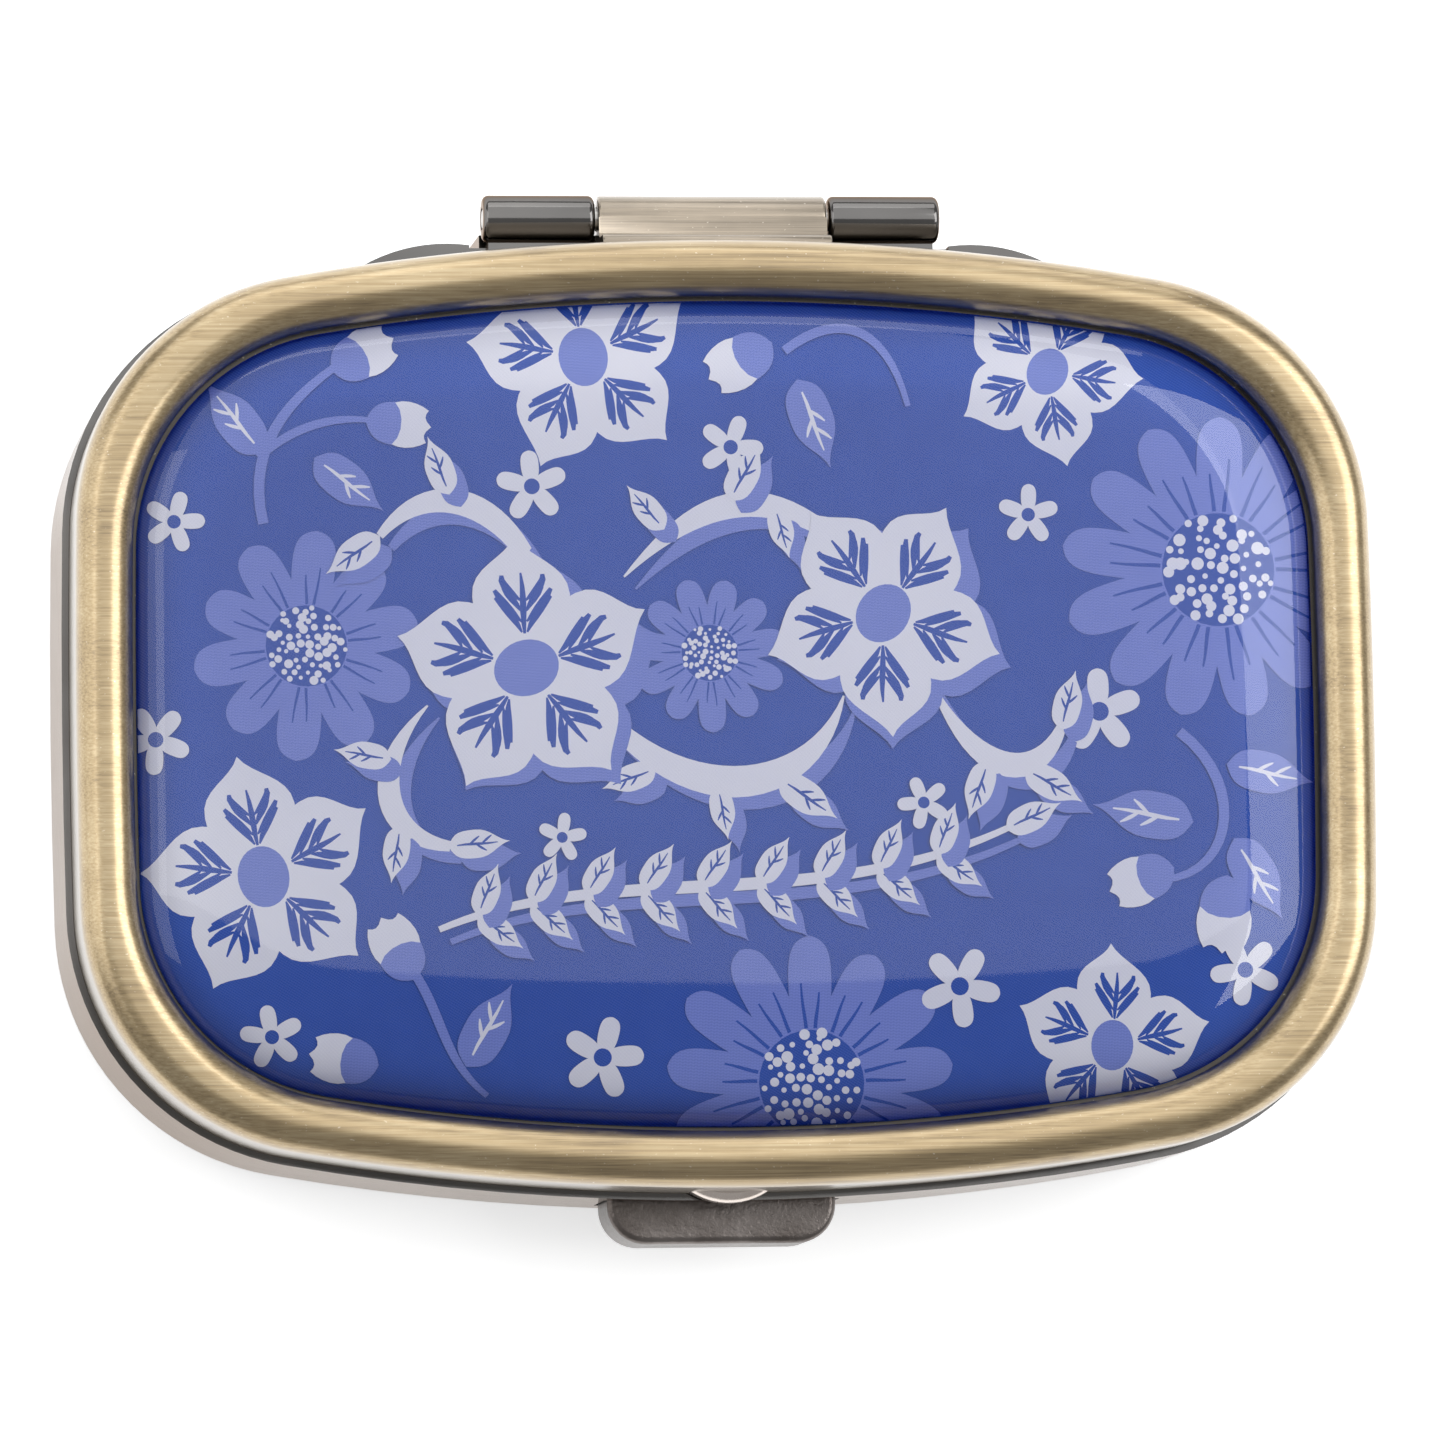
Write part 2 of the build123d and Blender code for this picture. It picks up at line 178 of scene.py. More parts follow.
nickel_dark = (0.112, 0.108, 0.105)
nickel_mid = (0.135, 0.131, 0.128)
nickel_light = (0.162, 0.155, 0.148)
nickel_edge = (0.62, 0.51, 0.43, 1.0)
pitting = 0.004 * mm
black_nickel = Finish("black_nickel", metallic=1.0)
plating = black_nickel.grain((900, 900, 900), 3.0)
smears = black_nickel.grain((90, 150, 150), 4.0)
black_nickel.paint(
    "Base Color", black_nickel.ramp(smears, (0.3, nickel_dark), (0.5, nickel_mid), (0.72, nickel_light)))
black_nickel.paint("Roughness", 0.07 + plating * 0.05 + smears * 0.06)
black_nickel.bump(plating, pitting)
black_nickel.paint("Specular Tint", nickel_edge)
dress(black_nickel, "base_shell")


# ---------------------------------------------------------------- Lid casting
# A shallow casting with a half-round rim round a sunk panel, brass plated, darkened and then
# brushed along its length, so that the high parts shine. Low down inside, painted shade darkens the
# colour to near black at the foot of the recess; low down outside, the colour is greyer.

side_arc = 420 * mm
long_arc = 122 * mm
outer_corner = 12.6 * mm
picture_corner = 10.6 * mm
lid_wall = 0.75 * mm
picture_gap = 0.2 * mm
rim_round = 1.32 * mm
edge_round = 0.12 * mm
side_steps = 8
corner_steps = 22
long_steps = 18
bead_steps = 14
half_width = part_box("base_shell")[1].x
half_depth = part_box("base_shell")[1].y


def arc(centre, radius, start, end, steps):
    """Points along an arc, without its last one."""
    angles = [start + (end - start) * step / steps for step in range(steps)]
    return [centre + radius * Vector((math.cos(a), math.sin(a))) for a in angles]


def rim_line(inset, corner):
    """The box's outline drawn in by an inset: four shallow arcs and rounded corners."""
    side_centre = Vector((half_width - side_arc, 0))
    long_centre = Vector((0, half_depth - long_arc))
    side_reach = side_arc - inset - corner
    long_reach = long_arc - inset - corner
    apart = long_centre - side_centre
    along = (side_reach ** 2 - long_reach ** 2 + apart.length_squared) / (2 * apart.length)
    across = math.sqrt(side_reach ** 2 - along ** 2)
    way = apart.normalized()
    corner_centre = side_centre + along * way + across * Vector((-way.y, way.x))
    side_end = math.atan2(*(corner_centre - side_centre).yx)
    long_end = math.atan2(*(corner_centre - long_centre).yx)
    quarter = arc(side_centre, side_arc - inset, 0, side_end, side_steps)
    quarter += arc(corner_centre, corner, side_end, long_end, corner_steps)
    quarter += arc(long_centre, long_arc - inset, long_end, math.pi / 2, long_steps)
    middle = Vector((0, half_depth - inset))
    right = quarter + [middle]
    left = [Vector((-p.x, p.y)) for p in reversed(quarter[1:])]
    upper = right + left
    start = Vector((half_width - inset, 0))
    return upper + [-start] + [Vector((p.x, -p.y)) for p in reversed(upper[1:])]


def level_ring(inset, corner, height):
    """The outline at an inset, as points at one height."""
    return [(*point, height) for point in rim_line(inset, corner)]


same_point = 0.0001 * mm
# Near black: painted shade at the foot of the recess round the picture
painted_recess_shade = (0.035, 0.027, 0.02)
bright_speck = (0.92, 0.86, 0.74)
brush_depth = 0.006 * mm


def lofted(rings):
    """Walls from ring to ring of points. The two ends meet if they are the same, or get a face."""
    shape = bmesh.new()
    looped = rings[0] == rings[-1]
    corners = [shape.verts.new(point) for point in rings[0]]
    edges = [shape.edges.new((corners[i - 1], corners[i])) for i in range(len(corners))]
    if not looped:
        bmesh.ops.contextual_create(shape, geom=edges)
    for points in rings[1:]:
        grown = bmesh.ops.extrude_edge_only(shape, edges=edges)["geom"]
        fresh = {part for part in grown if isinstance(part, bmesh.types.BMVert)}
        corners = [
            next(e.other_vert(c) for e in c.link_edges if e.other_vert(c) in fresh) for c in corners]
        for corner, point in zip(corners, points):
            corner.co = point
        edges = [shape.edges.get((corners[i - 1], corners[i])) for i in range(len(corners))]
    if looped:
        bmesh.ops.remove_doubles(shape, verts=shape.verts, dist=same_point)
    else:
        bmesh.ops.contextual_create(shape, geom=edges)
    bmesh.ops.recalc_face_normals(shape, faces=shape.faces)
    return shape


def piece(name, shape, finish, body, sharp=35):
    """Makes the object from a bmesh, shades it and rides it on its body."""
    mesh = bpy.data.meshes.new(name)
    shape.to_mesh(mesh)
    shape.free()
    mesh.shade_smooth()
    mesh.set_sharp_from_angle(angle=math.radians(sharp))
    mesh.materials.append(finish.material)
    made = bpy.data.objects.new(name, mesh)
    bpy.context.scene.collection.objects.link(made)
    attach(made, body)
    return made


def brushed(name, low, high, brown, brass, pale, side):
    """Plating darkened, then brushed along X: bright high up, greyer low down and outside, and
    painted near black low down inside, as the shade at the foot of the recess."""
    finish = Finish(name, metallic=1.0)
    lines = finish.grain((130, 9000, 9000), 3.0, 0.6)
    bands = finish.grain((40, 1300, 1300), 3.0)
    patches = finish.grain((170, 260, 260), 4.0, 0.6)
    specks = finish.between(finish.grain((5200, 7800, 7800), 1.0), 0.71, 0.79)
    # 1 high up where the brushing is full, 0 low down, where shade is painted on inside and the colour
    # greys outside
    rubbed_above_shade = finish.between(finish.axis("Z"), low, high)
    tone = lines * 0.46 + bands * 0.20 + patches * 0.30
    colour = finish.ramp(tone, (0.28, brown), (0.47, brass), (0.70, pale))
    across = finish.axis("X") * (1 / half_width)
    along = finish.axis("Y") * (1 / half_depth)
    outward = across * across * across * across + along * along * along * along
    # Low down: painted shade inside the recess, a greyer colour on the outside
    shade_inside_grey_outside = finish.blend(finish.between(outward, 0.72, 0.86), painted_recess_shade, side)
    colour = finish.blend(rubbed_above_shade, shade_inside_grey_outside, colour)
    finish.paint("Base Color", finish.blend(specks * 0.3, colour, bright_speck))
    finish.paint("Roughness", 0.34 - rubbed_above_shade * 0.06 + lines * 0.12 - patches * 0.06)
    finish.paint("Coat Weight", 1.0)
    finish.paint("Coat Roughness", 0.22)
    finish.bump(lines + patches * 0.3, brush_depth)
    return finish


lid_low, lid_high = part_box("lid_shell")
picture_low, picture_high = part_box("lid_print")
mirror_pad_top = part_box("mirror_pad")[1].z
lid_inset = half_width - lid_high.x
cavity_inset = lid_inset + lid_wall
recess_inset = half_width - picture_high.x - picture_gap
recess_corner = picture_corner + picture_gap

profile = [(cavity_inset, mirror_pad_top), (cavity_inset, lid_low.z + edge_round)]
profile += [(cavity_inset - edge_round, lid_low.z), (lid_inset + edge_round, lid_low.z)]
profile += [(lid_inset, lid_low.z + edge_round)]
rings = [level_ring(inset, outer_corner - inset, height) for inset, height in profile]
quarter_turn = [math.pi / 2 * step / bead_steps for step in range(bead_steps + 1)]
for angle in quarter_turn:
    inset = lid_inset + rim_round * (1 - math.cos(angle))
    height = lid_high.z - rim_round * (1 - math.sin(angle))
    rings.append(level_ring(inset, outer_corner - inset, height))
for angle in quarter_turn:
    inward = rim_round * (1 - math.sin(angle))
    height = lid_high.z - rim_round * (1 - math.cos(angle))
    rings.append(level_ring(recess_inset - inward, recess_corner + inward, height))
rings.append(level_ring(recess_inset, recess_corner, picture_low.z))

brass_brown = (0.17, 0.122, 0.070)
brass_gold = (0.36, 0.268, 0.142)
brass_pale = (0.54, 0.437, 0.272)
brass_side = (0.31, 0.262, 0.205)
# Below these heights the colour turns to painted shade inside the recess and greyer outside
brush_starts_over_shade = lid_high.z - 1.7 * mm
brush_full_shade_gone = lid_high.z - 0.4 * mm
lid_brass = brushed("antique_brass", brush_starts_over_shade, brush_full_shade_gone,
                    brass_brown, brass_gold, brass_pale, brass_side)
lid_casting = piece("lid_casting", lofted(rings), lid_brass, "lid")
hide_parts("lid_shell")


# ---------------------------------------------------------------- Picture
# A sheet printed with white and periwinkle flowers on cobalt, bonded to the panel. Each shape
# is a film of ink on its own level, so that they lie one on another in the order printed.

cobalt = (0.013, 0.066, 0.37)
cobalt_light = (0.05, 0.125, 0.49)
periwinkle = (0.155, 0.215, 0.58)
periwinkle_light = (0.24, 0.305, 0.71)
white = (0.79, 0.79, 0.84)
white_light = (0.86, 0.86, 0.89)
film = 0.00015 * mm


def printed(name, dark, light, across, along, wave, wave_pitch, contrast):
    """An ink laid down in fine rows, wavy or slanted, as a dot screen leaves it."""
    ink = Finish(name)
    x = ink.axis("X")
    y = ink.axis("Y")
    swing = (x * (2 * math.pi / wave_pitch)).sine() * wave
    rows = (x * (2 * math.pi * across) + y * (2 * math.pi * along) + swing).sine()
    dots = (x * (2 * math.pi * along) - y * (2 * math.pi * across)).sine()
    screen = 0.5 + rows * (0.30 * contrast) + dots * (0.12 * contrast)
    mottle = ink.grain((700, 700, 700), 2.0)
    ink.paint("Base Color", ink.blend(screen + mottle * 0.3 - 0.15, dark, light))
    ink.paint("Roughness", 0.38 + mottle * 0.12)
    ink.paint("Specular IOR Level", 0.0)
    return ink


ground_ink = printed("cobalt_ground", cobalt, cobalt_light, 4600, 7400, 0.0, 1.0, 1.0)
periwinkle_ink = printed(
    "periwinkle_ink", periwinkle, periwinkle_light, 500, 7000, 1.1, 0.26 * mm, 1.0)
white_ink = printed("white_ink", white, white_light, 5200, 5200, 0.0, 1.0, 0.7)
dress(ground_ink, "lid_print")
printed_height = picture_high.z
sheets = {"periwinkle": bmesh.new(), "white": bmesh.new(), "cobalt": bmesh.new()}


def printed_shape(ink, points, place):
    """One flat patch of ink from points in millimetres, placed over all that came before."""
    global printed_height
    printed_height += film
    sheet = sheets[ink]
    flat = [place @ Vector((point.x, point.y, 0)) for point in points]
    corners = [sheet.verts.new((p.x * mm, p.y * mm, printed_height)) for p in flat]
    edges = [sheet.edges.new((corners[i - 1], corners[i])) for i in range(len(corners))]
    bmesh.ops.contextual_create(sheet, geom=edges)


def put(x, y, turn=0.0, size=1.0):
    """A place on the lid: millimetres from its middle, degrees of turn, and size."""
    turned = Matrix.Rotation(math.radians(turn), 4, "Z")
    return Matrix.Translation((x, y, 0)) @ turned @ Matrix.Scale(size, 4)


def bent(knot, handle, far_handle, far_knot, steps=14):
    """Points on one Bezier stretch."""
    ends = [Vector((*p, 0)) for p in (knot, handle, far_handle, far_knot)]
    return [Vector((p.x, p.y)) for p in interpolate_bezier(*ends, steps)]


def petal(start, end, width, fullness=0.55, point=0.0):
    """Outline of a petal along +X; point is 0 for a round end and 1 for a sharp one."""
    length = end - start
    waist = start + length * fullness
    tip_handle = (end - length * 0.24 * point, width * (0.42 - 0.38 * point))
    upper = bent((start, 0), (start + length * 0.10, width * 0.42), (waist - length * 0.30, width * 0.5),
                 (waist, width * 0.5), 8)
    upper += bent((waist, width * 0.5), (waist + length * 0.26, width * 0.5), tip_handle, (end, 0), 9)[1:]
    lower = [Vector((p.x, -p.y)) for p in reversed(upper[1:-1])]
    return upper + lower


def stroke(line, start_width, middle_width, end_width):
    """Outline of a brush stroke along a line, swelling from its ends to its middle."""
    upper = []
    lower = []
    last = len(line) - 1
    for i, point in enumerate(line):
        before = line[max(i - 1, 0)]
        after = line[min(i + 1, last)]
        way = (after - before).normalized()
        side = Vector((-way.y, way.x))
        t = i / last
        ends = start_width * (1 - t) + end_width * t
        width = ends + (middle_width - (start_width + end_width) / 2) * math.sin(math.pi * t)
        upper.append(point + side * width / 2)
        lower.append(point - side * width / 2)
    return upper + lower[::-1]


def disc(x, y, across, tall=None, steps=20):
    """Outline of a round or oval spot."""
    tall = tall or across
    turns = [2 * math.pi * i / steps for i in range(steps)]
    return [Vector((x + across / 2 * math.cos(a), y + tall / 2 * math.sin(a))) for a in turns]


def blossom(x, y, turn, radius, petals=5):
    """White flower with pointed petals, brushed veins and a periwinkle middle."""
    place = put(x, y, turn, radius)
    for k in range(petals):
        here = place @ Matrix.Rotation(2 * math.pi * k / petals, 4, "Z")
        lean = 0.06 + 0.05 * math.sin(2.3 * k + turn)
        shape = petal(0.10, 1.0, 0.74, 0.50, 0.80)
        shape = [Vector((p.x, p.y + lean * p.x * p.x)) for p in shape]
        printed_shape("white", shape, here)
        for side in (-1, 1):
            for n in range(4):
                root = 0.27 + 0.08 * n
                spread = 0.06 + 0.035 * (n % 2)
                reach = 0.27 - 0.025 * n
                line = bent((root, side * 0.02), (root + reach * 0.35, side * spread),
                            (root + reach * 0.7, side * (spread + 0.08)),
                            (root + reach, side * (spread + 0.15 - 0.03 * n)), 6)
                printed_shape("cobalt", stroke(line, 0.014, 0.058, 0.03), here)
        spine = bent((0.26, 0), (0.4, 0.01), (0.55, -0.01), (0.72, 0.01), 6)
        printed_shape("cobalt", stroke(spine, 0.02, 0.05, 0.015), here)
    printed_shape("periwinkle", disc(0, 0, 0.50, 0.42, 28), place)


def daisy(x, y, turn, radius, petals=11, seed=1):
    """Periwinkle flower with long petals, dark veins and a middle of white dots."""
    place = put(x, y, turn, radius)
    draw = random.Random(seed)
    for k in range(petals):
        here = place @ Matrix.Rotation(2 * math.pi * k / petals, 4, "Z")
        end = 1.0 - 0.08 * draw.random()
        printed_shape("periwinkle", petal(0.24, end, 3.75 / petals, 0.62, 0.15), here)
        for side in (-1, 1):
            far = 0.58 + 0.12 * draw.random()
            line = bent((0.36, side * 0.03), (0.44, side * 0.035), (0.5, side * 0.055),
                        (far, side * 0.06), 6)
            printed_shape("cobalt", stroke(line, 0.025, 0.022, 0.012), here)
    printed_shape("cobalt", disc(0, 0, 0.70, None, 32), place)
    seeds = 62
    golden_turn = 2.39996
    for n in range(seeds):
        far = 0.34 * math.sqrt((n + 0.5) / seeds)
        angle = golden_turn * n + 0.3 * draw.random()
        size = 0.035 + 0.045 * draw.random()
        dot = disc(far * math.cos(angle), far * math.sin(angle), size, None, 12)
        printed_shape("white", dot, place)


def star_flower(x, y, turn, radius, petals=5):
    """Small white flower with round petals and a cobalt eye."""
    place = put(x, y, turn, radius)
    for k in range(petals):
        here = place @ Matrix.Rotation(2 * math.pi * k / petals, 4, "Z")
        printed_shape("white", petal(0.06, 1.0, 0.50, 0.60, 0.12), here)
    printed_shape("cobalt", disc(0, 0, 0.44, None, 18), place)


def leaf(x, y, turn, length, ink="periwinkle"):
    """Pointed leaf with a drawn rib and two side veins."""
    place = put(x, y, turn, length)
    printed_shape(ink, petal(0.0, 1.0, 0.46, 0.45, 0.9), place)
    vein = "white" if ink == "periwinkle" else "cobalt"
    rib = bent((0.14, 0), (0.35, 0.02), (0.55, -0.02), (0.80, 0.0), 6)
    printed_shape(vein, stroke(rib, 0.02, 0.045, 0.015), place)
    for side, root in ((1, 0.34), (-1, 0.44), (1, 0.54)):
        line = bent((root, 0), (root + 0.06, side * 0.04), (root + 0.1, side * 0.08),
                    (root + 0.17, side * 0.12), 5)
        printed_shape(vein, stroke(line, 0.02, 0.04, 0.015), place)


def bud(x, y, turn, size):
    """Periwinkle bud opening in a white tip with three points."""
    place = put(x, y, turn, size)
    printed_shape("periwinkle", petal(0.0, 0.86, 0.70, 0.60, 0.0), place)
    crown = bent((0.45, -0.34), (0.62, -0.42), (0.86, -0.36), (1.0, -0.26), 6)
    crown += bent((1.0, -0.26), (0.94, -0.18), (0.92, -0.12), (1.06, 0.0), 5)[1:]
    crown += bent((1.06, 0.0), (0.92, 0.12), (0.94, 0.18), (1.0, 0.26), 5)[1:]
    crown += bent((1.0, 0.26), (0.86, 0.36), (0.62, 0.42), (0.45, 0.34), 6)[1:]
    crown += bent((0.45, 0.34), (0.62, 0.20), (0.62, -0.20), (0.45, -0.34), 6)[1:-1]
    printed_shape("white", crown, place)


def stem(points, width=0.5):
    """Periwinkle stem along one bend."""
    line = bent(*points, 16)
    printed_shape("periwinkle", stroke(line, width, width, width * 0.6), put(0, 0))


# Flowers round the edge, some cut by it
blossom(-6.8, 17.3, 98, 5.7)
blossom(15.9, 16.6, 62, 4.7)
blossom(-22.6, -7.8, 100, 5.9)
blossom(18.4, -16.2, 84, 4.9)
daisy(-20.4, 3.3, 12, 5.6, 10, 3)
daisy(24.1, 6.9, 5, 7.9, 13, 5)
daisy(3.7, -17.9, 90, 7.3, 13, 7)
star_flower(-9.4, 11.0, 95, 1.75)
star_flower(0.3, 12.9, 70, 1.6)
star_flower(14.8, 9.6, 88, 1.5)
star_flower(18.1, 0.0, 20, 2.1)
star_flower(11.0, -13.3, 60, 2.0)
star_flower(25.0, -12.6, 45, 1.75)
star_flower(-26.7, 9.3, 74, 1.5)
star_flower(-27.7, -1.2, 50, 1.7)
star_flower(-22.3, -15.5, 100, 1.55)
star_flower(-6.4, -16.6, 75, 2.0)

# Sprigs between them
stem(((-22.4, 9.2), (-23.3, 13.0), (-21.0, 15.6), (-17.6, 17.6)))
stem(((-22.6, 12.4), (-20.6, 14.2), (-18.6, 14.4), (-17.0, 14.2)), 0.4)
bud(-17.4, 14.2, -6, 3.0)
bud(-19.0, 16.6, 28, 3.2)
leaf(-19.9, 12.4, -38, 4.2)
leaf(-22.4, 12.6, 128, 4.4)
stem(((3.0, 17.6), (5.6, 19.6), (8.0, 19.0), (9.0, 14.9)), 0.45)
leaf(3.6, 16.2, -70, 4.6)
bud(2.4, 18.0, -150, 3.4)
stem(((22.0, -1.0), (25.3, -3.5), (24.6, -8.0), (21.0, -8.2)), 0.5)
leaf(22.6, -5.4, 170, 5.0)
leaf(24.3, -2.6, -12, 4.4)
leaf(24.6, -6.2, -60, 4.6)
bud(21.6, -7.6, 200, 3.2)
bud(24.2, -8.0, -95, 3.6)
stem(((-15.6, -12.2), (-14.0, -14.5), (-14.2, -16.6), (-12.0, -18.4)), 0.45)
bud(-15.4, -12.8, 118, 3.2)
leaf(-13.0, -17.0, 60, 4.6)
bud(-17.2, -16.9, 170, 3.2)

# Vines and a leaf garland across the middle, white over a periwinkle shadow
shadow = (0.55, -0.60)


def vine(line, start_width, middle_width, end_width):
    """White brush stroke with its shadow."""
    shape = stroke(line, start_width, middle_width, end_width)
    printed_shape("periwinkle", shape, put(*shadow))
    printed_shape("white", shape, put(0, 0))


def white_leaf(x, y, turn, length):
    """White leaf with its shadow."""
    place = put(x + shadow[0], y + shadow[1], turn, length)
    printed_shape("periwinkle", petal(0.0, 1.0, 0.46, 0.45, 0.9), place)
    leaf(x, y, turn, length, "white")


def shaded_blossom(x, y, turn, radius):
    """Large white flower with its shadow."""
    for k in range(5):
        here = put(x + shadow[0], y + shadow[1], turn + 72 * k, radius)
        printed_shape("periwinkle", petal(0.10, 1.0, 0.80, 0.50, 0.80), here)
    blossom(x, y, turn, radius)


vine(bent((-16.8, 8.6), (-14.6, 11.4), (-11.4, 10.6), (-9.6, 7.4), 20), 0.4, 1.2, 0.8)
vine(bent((-5.0, 6.6), (-1.4, 10.4), (1.4, 11.0), (4.6, 9.0), 20), 0.1, 1.2, 0.8)
vine(bent((-5.6, -0.6), (-1.2, -5.0), (4.2, -3.8), (5.6, 0.8), 22), 0.8, 1.5, 0.1)
vine(bent((9.8, 1.6), (12.0, -3.4), (15.0, -3.6), (16.2, -0.8), 20), 0.1, 1.2, 0.5)
vine(bent((-14.6, 0.4), (-17.6, -2.6), (-17.0, -6.0), (-13.6, -6.4), 20), 0.1, 1.1, 0.5)
daisy(-0.9, 2.9, 10, 3.9, 11, 9)
for leaf_x, leaf_y, leaf_turn, leaf_length in (
        (-16.8, 8.6, 215, 3.2), (-13.4, 10.6, 110, 3.0), (-3.0, 8.9, 130, 2.8), (0.2, 10.3, 60, 3.2),
        (2.4, 10.0, -75, 2.6), (-3.6, -2.7, 200, 2.8), (-0.6, -3.6, -80, 2.6), (2.4, -3.2, -35, 3.4),
        (12.6, -2.4, -110, 3.0), (14.4, -2.8, -30, 3.2), (16.2, -0.9, 75, 3.0),
        (-16.4, -2.2, 170, 2.8), (-13.7, -6.4, 5, 3.0), (-16.0, -5.4, -100, 2.8)):
    white_leaf(leaf_x, leaf_y, leaf_turn, leaf_length)
shaded_blossom(-9.8, 2.2, 20, 6.4)
shaded_blossom(7.6, 4.8, 52, 6.0)

garland = bent((-14.2, -10.4), (-6.0, -7.0), (4.0, -10.0), (13.6, -5.6), 41)
vine(garland, 0.3, 0.6, 0.3)
for step in range(3, 39, 4):
    here = garland[step]
    ahead = garland[step + 1] - here
    heading = math.degrees(math.atan2(ahead.y, ahead.x))
    for side in (-1, 1):
        white_leaf(here.x, here.y, heading + side * 52, 2.7)
white_leaf(13.4, -5.7, 25, 3.0)
star_flower(9.4, -4.4, 40, 1.3)
star_flower(-8.2, -6.0, 10, 1.2)


on_the_line = 0.00001 * mm


def trimmed(sheet, line):
    """Cuts a sheet of ink along the picture's edge, which curves outwards all the way."""
    bmesh.ops.triangulate(sheet, faces=sheet.faces)
    for i in range(len(line)):
        edge = line[i] - line[i - 1]
        parts = sheet.verts[:] + sheet.edges[:] + sheet.faces[:]
        bmesh.ops.bisect_plane(
            sheet, geom=parts, dist=on_the_line, plane_co=(*line[i], 0),
            plane_no=(edge.y, -edge.x, 0), clear_outer=True)
    for face in sheet.faces:
        face.normal_update()
        if face.normal.z < 0:
            face.normal_flip()


picture_inset = half_width - picture_high.x
ink_margin = 0.05 * mm
trim_line = rim_line(picture_inset + ink_margin, picture_corner)
for ink, finish in (("periwinkle", periwinkle_ink), ("white", white_ink), ("cobalt", ground_ink)):
    trimmed(sheets[ink], trim_line)
    film_piece = piece("print_" + ink, sheets[ink], finish, "lid")


# ---------------------------------------------------------------- Resin dome
# Clear resin poured over the picture. It stands proud in the middle and rounds down to the
# picture's edge, as a drop does. It is bonded, so only its outside shines.

dome_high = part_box("lid_dome")[1]
dome_sphere = 640 * mm
edge_fall = 1.25 * mm
edge_step = 0.35 * mm
dome_rings = 26
dome_reach = 7.6 * mm
middle_rings = (0.86, 0.7, 0.54, 0.38, 0.22, 0.08)
dome_bond = 0.01 * mm
dome_inset = picture_inset + dome_bond
dome_foot = picture_high.z - dome_bond
ring_spread = 1.7


def resin_ring(line, inward):
    """Points on the resin's surface over a line that lies so far in from the edge."""
    low = picture_high.z + edge_step
    risen = 1 - math.exp(-inward / edge_fall)
    crowns = [dome_high.z - point.length_squared / (2 * dome_sphere) for point in line]
    return [(*point, low + (crown - low) * risen) for point, crown in zip(line, crowns)]


rings = [level_ring(dome_inset, picture_corner, dome_foot)]
for step in range(dome_rings + 1):
    inward = dome_reach * (step / dome_rings) ** ring_spread
    inner_line = rim_line(dome_inset + inward, picture_corner - inward)
    rings.append(resin_ring(inner_line, inward))
for part in middle_rings:
    rings.append(resin_ring([point * part for point in inner_line], dome_reach))

resin_index = 1.5
resin_tint = (0.97, 0.97, 0.98, 1.0)
clear_resin = Finish("clear_resin", metallic=1.0)
clear_resin.paint("Base Color", (1.0, 1.0, 1.0, 1.0))
ripple = clear_resin.grain((55, 55, 55), 1.0)
clear_resin.paint("Roughness", 0.015 + ripple * 0.02)
clear_resin.bump(ripple, 0.02 * mm, 0.5)
gloss = clear_resin.node("ShaderNodeFresnel", {}, {"IOR": resin_index})
see_through = clear_resin.node("ShaderNodeBsdfTransparent", {}, {"Color": resin_tint})
coated = clear_resin.node(
    "ShaderNodeMixShader", {},
    {0: gloss, 1: see_through, 2: Value(clear_resin, clear_resin.shader.outputs[0])})
clear_resin.feed(clear_resin.tree.nodes["Material Output"].inputs["Surface"], coated)
dome = piece("resin_dome", lofted(rings), clear_resin, "lid", sharp=60)
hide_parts("lid_dome")


# ---------------------------------------------------------------- Mirror in the lid
# Silvered glass with its adhesive pad, stuck under the lid's panel.

silvered = Finish("mirror_glass", metallic=1.0)
haze = silvered.grain((120, 120, 120), 4.0)
silvered.paint("Base Color", silvered.blend(haze, (0.86, 0.88, 0.88), (0.93, 0.94, 0.94)))
silvered.paint("Roughness", 0.01 + haze * 0.03)
foam = Finish("adhesive_pad", roughness=0.9)
cells = foam.grain((4000, 4000, 4000), 2.0)
foam.paint("Base Color", foam.blend(cells, (0.55, 0.55, 0.53), (0.78, 0.78, 0.76)))
foam.bump(cells, 0.03 * mm)
dress(silvered, "mirror")
dress(foam, "mirror_pad", "tray_pad")


# ---------------------------------------------------------------- Hinge
# The lid's middle knuckle is brass plated with its leaf; the base's plate, outer knuckles and
# shoulders are black nickel. A steel pin goes through all three, and rivets hold both leaves.

hinge_axis = Vector(next(j["pos_m"] for j in frame["joints"] if j["name"] == "lid_hinge"))
leaf_low, leaf_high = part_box("lid_hinge_leaf")
knuckle_radius = leaf_high.y - hinge_axis.y
outer_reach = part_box("hinge_pin")[1].x
bore_radius = 0.62 * mm
end_round = 0.16 * mm
outer_round = 0.30 * mm
sleeve = 0.004 * mm
hinge_brown = (0.13, 0.108, 0.082)
hinge_gold = (0.25, 0.21, 0.160)
hinge_pale = (0.40, 0.335, 0.255)
# The whole leaf is brushed and gets no painted shade, so the brushing is at its full strength below
# the leaf's foot
hinge_brush_starts_over_shade = leaf_low.z - 2 * mm
hinge_brush_full_shade_gone = leaf_low.z - 1 * mm
hinge_brass = brushed("hinge_brass", hinge_brush_starts_over_shade, hinge_brush_full_shade_gone,
                      hinge_brown, hinge_gold, hinge_pale, hinge_gold)


def round_ring(x, radius):
    """A circle about the hinge's axis."""
    turns = [2 * math.pi * i / 72 for i in range(72)]
    return [
        (x, hinge_axis.y + radius * math.cos(a), hinge_axis.z + radius * math.sin(a)) for a in turns]


